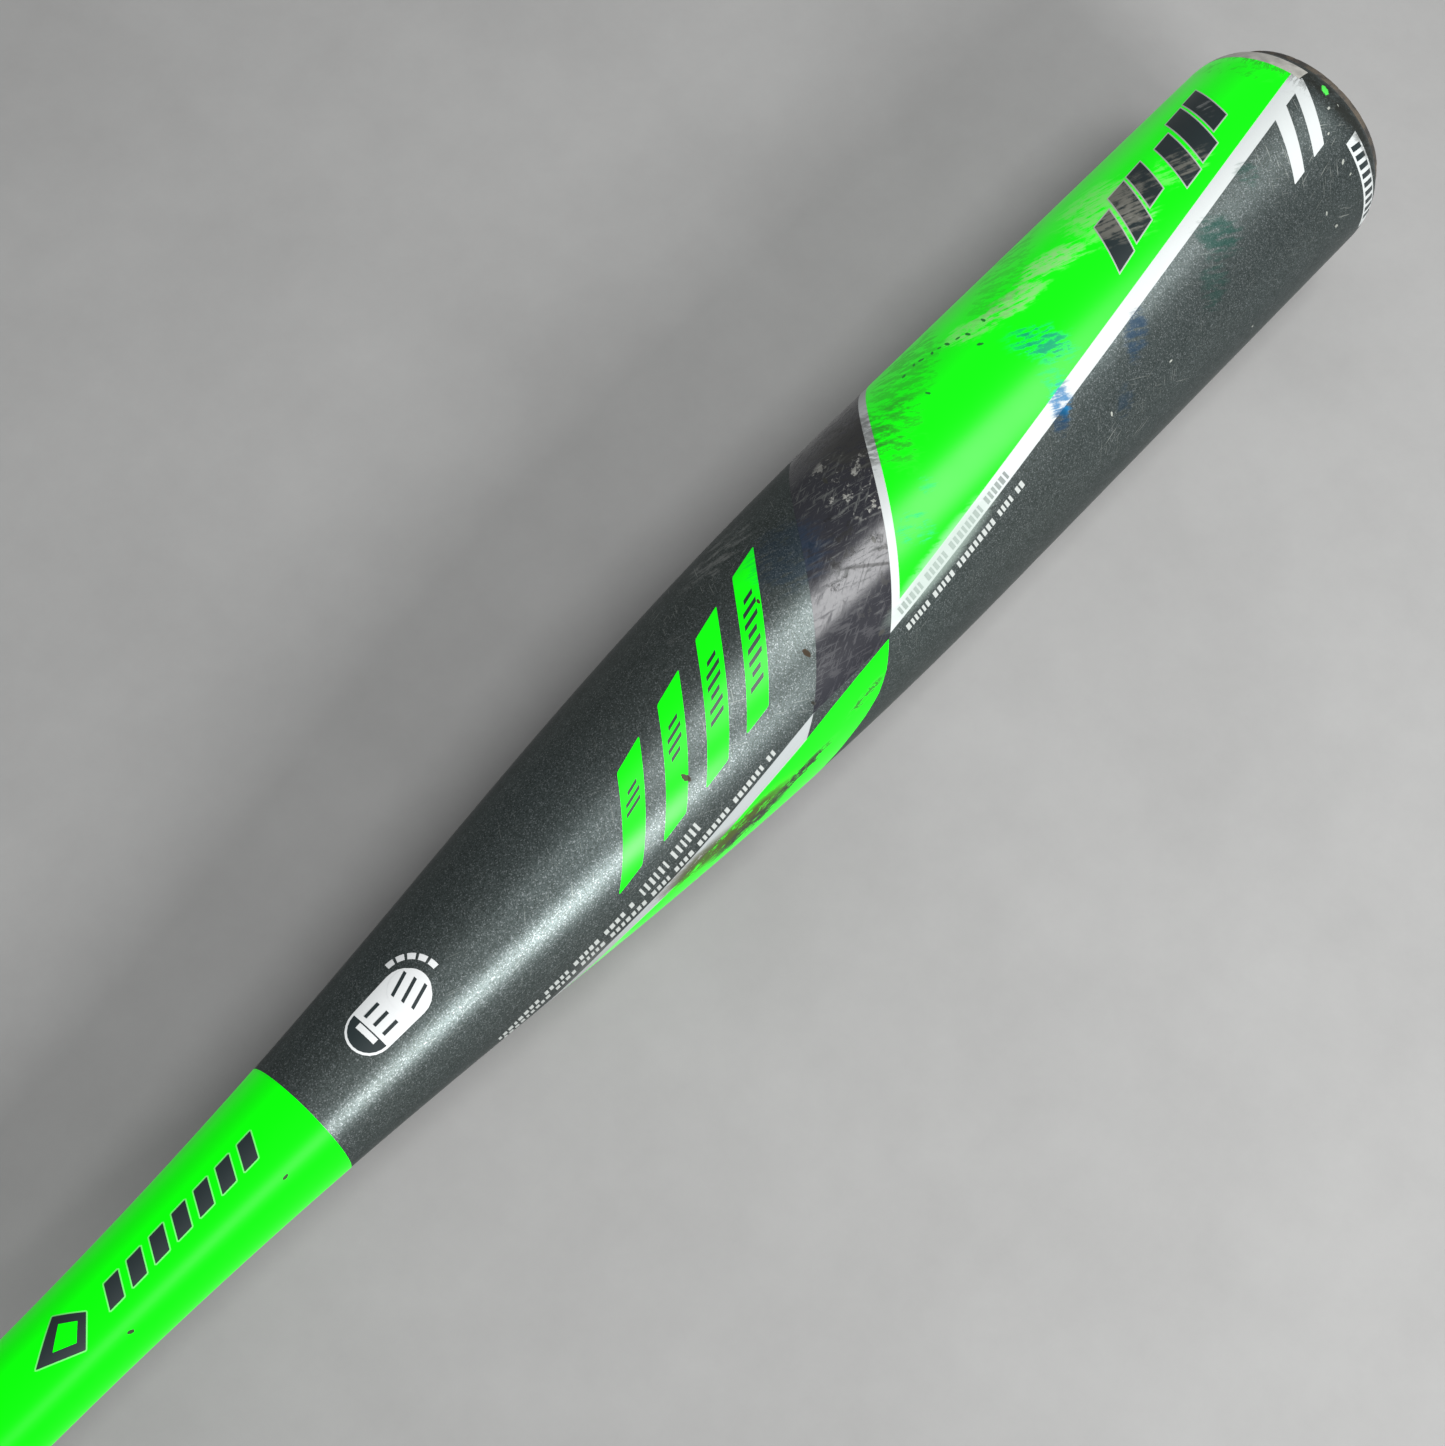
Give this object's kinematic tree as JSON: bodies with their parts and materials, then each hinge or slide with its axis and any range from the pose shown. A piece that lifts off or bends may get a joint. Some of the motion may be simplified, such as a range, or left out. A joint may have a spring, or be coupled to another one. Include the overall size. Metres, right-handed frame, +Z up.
{
  "type": "baseball bat",
  "caption": "Hollow one-piece alloy baseball bat with a straight barrel, long taper, domed end cap, flared knob and spiral-wrapped grip, lying on its side.",
  "frame": {"origin": "on the floor, under the middle of the bat as it lies on its barrel and its knob", "axes": "+X along the bat towards the barrel's end, +Z up, +Y to the side away from the camera"},
  "size_m": [0.737, 0.0572, 0.0582],
  "materials": {
    "charcoal_paint": "clear-coated charcoal metallic paint with neon green, white and black graphics",
    "green_paint": "clear-coated neon green paint",
    "white_paint": "clear-coated white paint",
    "black_paint": "glossy blue-black paint",
    "cap_plastic": "worn moulded black polymer",
    "adhesive": "cured amber adhesive",
    "bare_alloy": "as-welded aluminium",
    "plug_rubber": "moulded rubber",
    "weight_metal": "plain cast slug",
    "badge_plastic": "gloss domed badge",
    "underlay": "thin woven adhesive underlay",
    "grip_leather": "perforated synthetic leather wrap",
    "finish_tape": "stretched vinyl tape"
  },
  "bodies": {
    "root": {"alloy_shell": "charcoal_paint", "end_cap": "cap_plastic", "end_cap_adhesive": "adhesive", "knob": "charcoal_paint", "knob_weld": "bare_alloy", "knob_plug": "plug_rubber", "balance_weight": "weight_metal", "knob_badge": "badge_plastic", "grip_backing": "underlay", "grip_wrap": "grip_leather", "grip_finish_tape": "finish_tape"}
  },
  "joints": []
}
